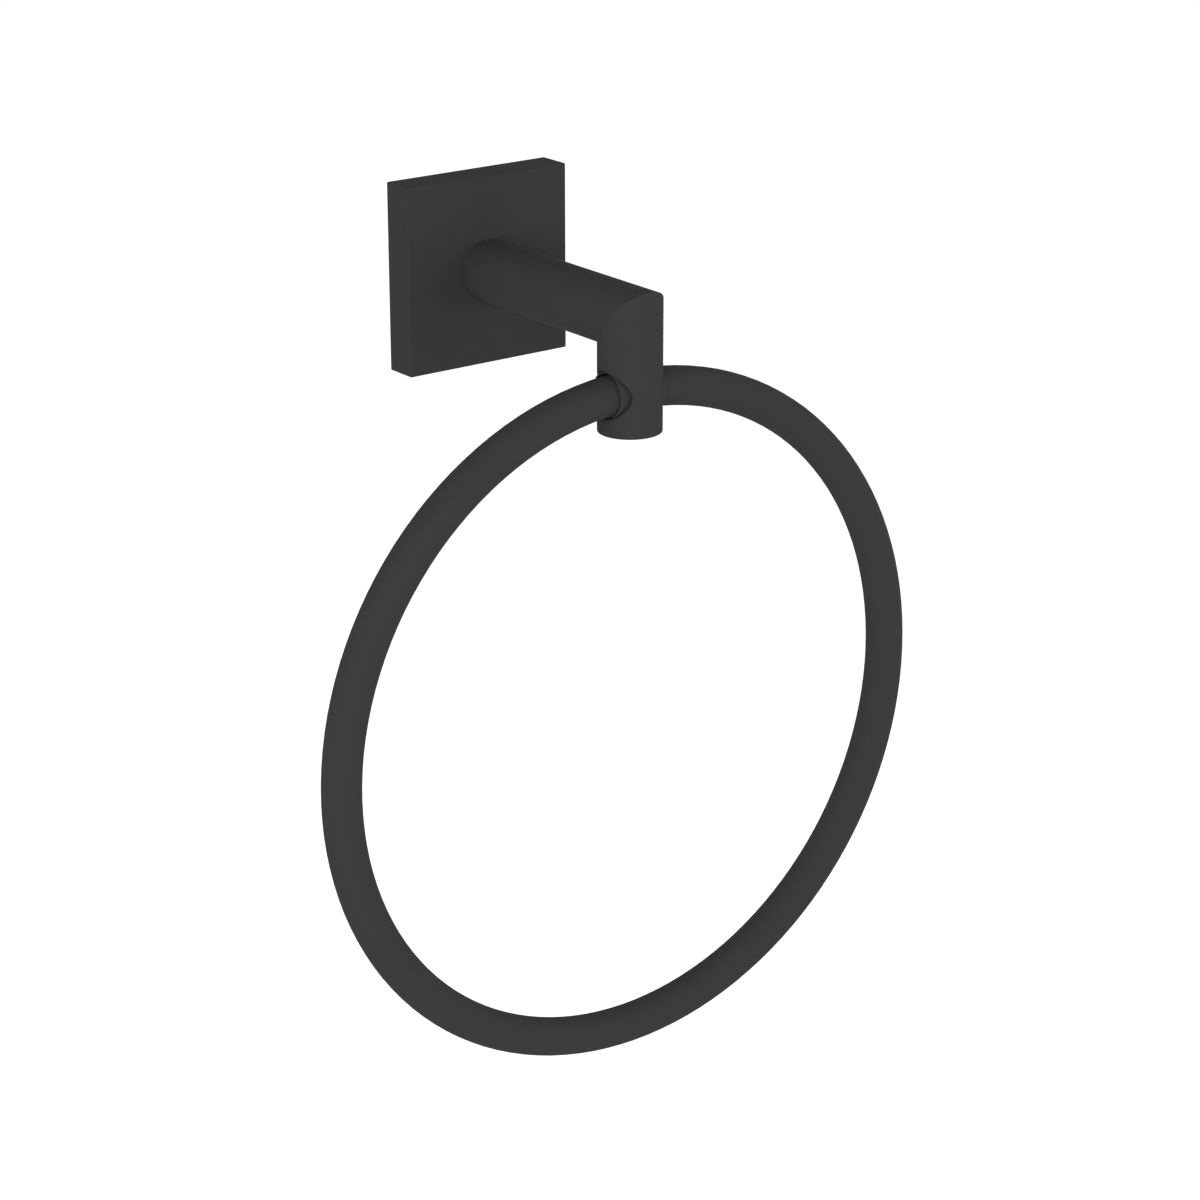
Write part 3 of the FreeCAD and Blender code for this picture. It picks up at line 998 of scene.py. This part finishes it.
@dataclass
class Studio:
    """Camera, lamps, pale floor and white surroundings.

    The camera stands at its azimuth and elevation, in degrees, round the
    target. Its focal length is in pixels of a picture picture_pixels wide.
    """

    azimuth: float = -36.963
    elevation: float = 19.982
    distance: float = 0.9129
    focal_pixels: float = 3243.1
    picture_pixels: float = 1200.0
    sensor_width: float = 36.0
    nearest: float = 0.05
    farthest: float = 50.0
    target: tuple[float, float, float] = (0.04328, 0.0, -0.10382)
    floor_height: float = -1.15
    floor_radius: float = 7.0
    floor_sides: int = 96
    floor_colour: Colour = (0.86, 0.86, 0.86)
    floor_lift: float = 0.8
    ambient: float = 0.344
    softboxes: tuple[Softbox, ...] = (
        Softbox("key_left", azimuth=-50.0, elevation=15.0, level=0.643),
        Softbox("side_left", azimuth=-98.0, elevation=5.0, level=0.123),
        Softbox("key_right", azimuth=25.0, elevation=15.0, level=0.143),
        Softbox("low_right", azimuth=20.0, elevation=-20.0, level=0.138, size=1.7),
        Softbox("side_right", azimuth=75.0, elevation=10.0, level=0.337),
        Softbox("back", azimuth=180.0, elevation=3.0, level=0.15, size=3.0, distance=2.5),
    )

    def place_camera(self) -> None:
        """Sets the camera at the photograph's viewing angle."""
        lens = bpy.data.cameras.new("camera")
        lens.sensor_width = self.sensor_width
        lens.lens = self.focal_pixels / self.picture_pixels * self.sensor_width
        lens.clip_start, lens.clip_end = self.nearest, self.farthest
        camera = bpy.data.objects.new("camera", lens)
        aim(camera, Vector(self.target), self.azimuth, self.elevation, self.distance)
        bpy.context.scene.camera = camera

    def _seen(self, graph: Graph) -> bpy.types.NodeSocket:
        """Masks the rays that look at the surroundings.

        Args:
            graph: The graph of the material or the world.

        Returns:
            1 for a ray straight from the camera, or one mirrored or let
            through by the object, and 0 for any other.
        """
        path = graph.add("ShaderNodeLightPath").outputs
        mirrored = graph.math("MAXIMUM", path["Is Glossy Ray"], path["Is Transmission Ray"])
        return graph.math("MAXIMUM", path["Is Camera Ray"], mirrored)

    def set_surroundings(self) -> None:
        """White to look at, and an even soft light on the object."""
        world = bpy.data.worlds.new("surroundings")
        world.use_nodes = True
        graph = Graph(world.node_tree)
        background = world.node_tree.nodes["Background"]
        background.inputs["Color"].default_value = WHITE
        strength = graph.spread(self._seen(graph), self.ambient, 1.0, 0.0, 1.0)
        graph.feed(background.inputs["Strength"], strength)
        bpy.context.scene.world = world

    def lay_floor(self) -> None:
        """Pale floor far below, which keeps the object's soft shadow."""
        shape = bmesh.new()
        bmesh.ops.create_circle(shape, cap_ends=True, radius=self.floor_radius, segments=self.floor_sides)
        mesh = bpy.data.meshes.new("floor")
        shape.to_mesh(mesh)
        shape.free()
        floor = bpy.data.objects.new("floor", mesh)
        floor.location.z = self.floor_height
        bpy.context.scene.collection.objects.link(floor)
        material = bpy.data.materials.new("pale_floor")
        material.use_nodes = True
        graph = Graph(material.node_tree)
        shader = material.node_tree.nodes["Principled BSDF"]
        shader.inputs["Base Color"].default_value = (*self.floor_colour, 1.0)
        shader.inputs["Roughness"].default_value = 1.0
        shader.inputs["Specular IOR Level"].default_value = 0.0
        shader.inputs["Emission Color"].default_value = WHITE
        glow = graph.math("MULTIPLY", self._seen(graph), self.floor_lift)
        graph.feed(shader.inputs["Emission Strength"], glow)
        mesh.materials.append(material)

    def build(self) -> None:
        """Sets the studio up round the object."""
        self.place_camera()
        self.set_surroundings()
        self.lay_floor()
        middle = (CAD_BOX[0] + CAD_BOX[1]) / 2
        for softbox in self.softboxes:
            softbox.hang(middle)
        bpy.context.scene.view_settings.view_transform = "Standard"
        log.info("studio: %d softboxes", len(self.softboxes))


def make_steel(effects: Effects, name: str, turn: Turn, node: str) -> bpy.types.Material:
    """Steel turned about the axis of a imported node.

    Args:
        effects: The shared node groups.
        name: Name of the material.
        turn: Direction of the node's axis.
        node: Name of the node.

    Returns:
        The finished material.
    """
    low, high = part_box(node)
    finish = TurnedSteel(
        name,
        colour=(0.52, 0.52, 0.53),
        roughness=0.36,
        swell=1.0 * MM,
        grain=0.12 * MM,
        relief=0.003 * MM,
        turn=turn,
        centre=tuple((low + high) / 2),
    )
    return finish.make(effects)


def main() -> None:
    """Builds the finishes, dresses each sub-assembly and sets up the studio."""
    logging.basicConfig(level=logging.INFO, format="%(message)s")
    effects = Effects()
    coat = PowderCoat(
        "black_powder_coat",
        colour=(0.0435, 0.0435, 0.0435),
        roughness=0.85,
        swell=1.6 * MM,
        grain=0.28 * MM,
        relief=0.022 * MM,
    ).make(effects)
    zinc = ZincPlate(
        "bright_zinc",
        colour=(0.58, 0.6, 0.62),
        roughness=0.38,
        swell=1.2 * MM,
        grain=0.2 * MM,
        relief=0.004 * MM,
    ).make(effects)
    polymer = MouldedPolymer(
        "bearing_polymer",
        colour=(0.035, 0.035, 0.035),
        roughness=0.62,
        swell=0.9 * MM,
        grain=0.18 * MM,
        relief=0.004 * MM,
    ).make(effects)
    set_screw_steel = make_steel(effects, "set_screw_steel", Turn.ALONG_Z, "flange_set_screw")
    arm_screw_steel = make_steel(effects, "arm_screw_steel", Turn.ALONG_Y, "arm_screw")
    keeper_steel = make_steel(effects, "keeper_steel", Turn.ALONG_Z, "ring_keeper_screw")
    joiner_steel = make_steel(effects, "joiner_steel", Turn.ALONG_X, "ring_joiner")

    Flange(coat, zinc, set_screw_steel).build()
    Arm(coat, arm_screw_steel).build()
    Pivot(polymer, keeper_steel).build()
    SwingingRing(coat, joiner_steel).build()
    Studio().build()


if __name__ == "__main__":
    main()
